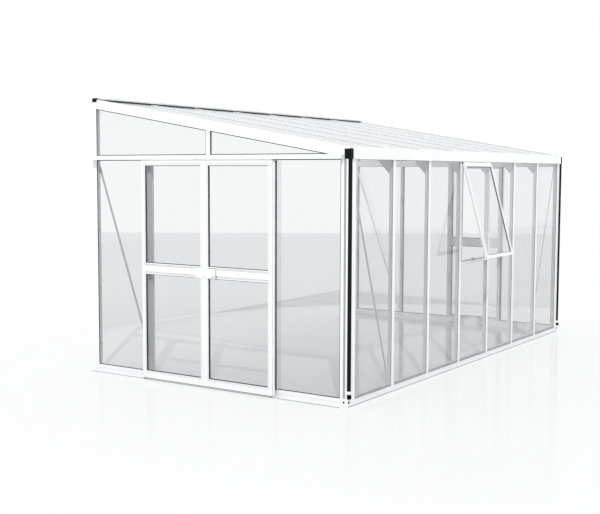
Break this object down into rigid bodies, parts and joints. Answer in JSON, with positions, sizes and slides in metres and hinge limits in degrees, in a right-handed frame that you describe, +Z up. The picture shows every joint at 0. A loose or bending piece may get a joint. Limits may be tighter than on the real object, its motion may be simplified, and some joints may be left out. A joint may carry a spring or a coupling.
{
  "type": "lean-to greenhouse",
  "caption": "Lean-to greenhouse of white glazed aluminium bars with a single-pitch roof, sliding doors in both gables, a top-hung window, gutter and downpipes.",
  "frame": {"origin": "the middle of the underside of the front sill, on the ground", "axes": "+X along the length from the double door's gable to the far gable, +Y from the eave to the wall, +Z up"},
  "size_m": [4.6516, 2.8411, 2.3788],
  "materials": {
    "white_frame": "satin",
    "clear_glass": "polished",
    "roof_sheet": "gloss",
    "black_plastic": "satin",
    "nylon": "satin"
  },
  "bodies": {
    "house": {"front_sill": "white_frame", "near_sill": "white_frame", "far_sill": "white_frame", "near_corner_post": "white_frame", "far_corner_post": "white_frame", "front_bar_1": "white_frame", "front_bar_2": "white_frame", "front_bar_3": "white_frame", "front_bar_4": "white_frame", "front_bar_5": "white_frame", "front_bar_6": "white_frame", "eave_gutter": "white_frame", "roof_frame": "white_frame", "near_gable_frame": "white_frame", "far_gable_frame": "white_frame", "front_pane_1": "clear_glass", "front_pane_2": "clear_glass", "front_pane_3": "clear_glass", "front_pane_4": "clear_glass", "front_pane_5": "clear_glass", "front_pane_6": "clear_glass", "front_pane_7": "clear_glass", "roof_panel_1": "roof_sheet", "roof_panel_2": "roof_sheet", "roof_panel_3": "roof_sheet", "roof_panel_4": "roof_sheet", "roof_panel_5": "roof_sheet", "roof_panel_6": "roof_sheet", "roof_panel_7": "roof_sheet", "near_pane_front": "clear_glass", "near_pane_wall": "clear_glass", "near_pane_top_front": "clear_glass", "near_pane_top_wall": "clear_glass", "far_pane_front": "clear_glass", "far_pane_middle": "clear_glass", "far_pane_wall": "clear_glass", "far_pane_top_front": "clear_glass", "far_pane_top_wall": "clear_glass", "window_frame": "white_frame", "near_downpipe": "black_plastic", "far_downpipe": "black_plastic"},
    "wall_leaf": {"wall_leaf_frame": "white_frame", "wall_leaf_pane_lower": "clear_glass", "wall_leaf_pane_upper": "clear_glass"},
    "wall_leaf_roller_1": {"wall_leaf_wheel_1": "nylon"},
    "wall_leaf_roller_2": {"wall_leaf_wheel_2": "nylon"},
    "front_leaf": {"front_leaf_frame": "white_frame", "front_leaf_pane_lower": "clear_glass", "front_leaf_pane_upper": "clear_glass"},
    "front_leaf_roller_1": {"front_leaf_wheel_1": "nylon"},
    "front_leaf_roller_2": {"front_leaf_wheel_2": "nylon"},
    "far_leaf": {"far_leaf_frame": "white_frame", "far_leaf_pane_lower": "clear_glass", "far_leaf_pane_upper": "clear_glass"},
    "far_leaf_roller_1": {"far_leaf_wheel_1": "nylon"},
    "far_leaf_roller_2": {"far_leaf_wheel_2": "nylon"},
    "latch": {"latch_knob": "white_frame"},
    "sash": {"window_sash": "white_frame", "window_pane": "clear_glass"},
    "stay": {"window_stay": "white_frame"}
  },
  "joints": [
    {"name": "near_wall_leaf_slide", "type": "slide", "parent": "house", "child": "wall_leaf", "axis": [0, 1, 0], "range_m": [0, 0.6]},
    {"name": "near_front_leaf_slide", "type": "slide", "parent": "house", "child": "front_leaf", "axis": [0, -1, 0], "range_m": [0, 0.6]},
    {"name": "far_leaf_slide", "type": "slide", "parent": "house", "child": "far_leaf", "axis": [0, 1, 0], "range_m": [0, 0.6]},
    {"name": "wall_leaf_roller_1_spin", "type": "hinge", "parent": "wall_leaf", "child": "wall_leaf_roller_1", "pos_m": [-2.3055, 1.38275, 1.8598], "axis": [1, 0, 0], "continuous": true},
    {"name": "wall_leaf_roller_2_spin", "type": "hinge", "parent": "wall_leaf", "child": "wall_leaf_roller_2", "pos_m": [-2.3055, 1.86675, 1.8598], "axis": [1, 0, 0], "continuous": true},
    {"name": "front_leaf_roller_1_spin", "type": "hinge", "parent": "front_leaf", "child": "front_leaf_roller_1", "pos_m": [-2.3055, 0.71775, 1.8598], "axis": [1, 0, 0], "continuous": true},
    {"name": "front_leaf_roller_2_spin", "type": "hinge", "parent": "front_leaf", "child": "front_leaf_roller_2", "pos_m": [-2.3055, 1.20175, 1.8598], "axis": [1, 0, 0], "continuous": true},
    {"name": "far_leaf_roller_1_spin", "type": "hinge", "parent": "far_leaf", "child": "far_leaf_roller_1", "pos_m": [2.3055, 0.739, 1.8598], "axis": [1, 0, 0], "continuous": true},
    {"name": "far_leaf_roller_2_spin", "type": "hinge", "parent": "far_leaf", "child": "far_leaf_roller_2", "pos_m": [2.3055, 1.223, 1.8598], "axis": [1, 0, 0], "continuous": true},
    {"name": "window_hinge", "type": "hinge", "parent": "house", "child": "sash", "pos_m": [0, -0.034, 1.832], "axis": [-1, 0, 0], "range_deg": [-15.5, 6.5]},
    {"name": "window_stay_hinge", "type": "hinge", "parent": "sash", "child": "stay", "pos_m": [0, -0.25007, 1.0005], "axis": [-1, 0, 0], "range_deg": [-3.9, 9.3]},
    {"name": "latch_turn", "type": "hinge", "parent": "front_leaf", "child": "latch", "pos_m": [-2.3096, 1.19975, 0.935], "axis": [-1, 0, 0], "range_deg": [0, 90]}
  ],
  "couplings": [
    {"joint": "wall_leaf_roller_1_spin", "follows": "near_wall_leaf_slide", "rad_per_m": -102.04},
    {"joint": "wall_leaf_roller_2_spin", "follows": "near_wall_leaf_slide", "rad_per_m": -102.04},
    {"joint": "front_leaf_roller_1_spin", "follows": "near_front_leaf_slide", "rad_per_m": 102.04},
    {"joint": "front_leaf_roller_2_spin", "follows": "near_front_leaf_slide", "rad_per_m": 102.04},
    {"joint": "far_leaf_roller_1_spin", "follows": "far_leaf_slide", "rad_per_m": -102.04},
    {"joint": "far_leaf_roller_2_spin", "follows": "far_leaf_slide", "rad_per_m": -102.04},
    {"joint": "window_stay_hinge", "follows": "window_hinge", "ratio": -0.6}
  ]
}
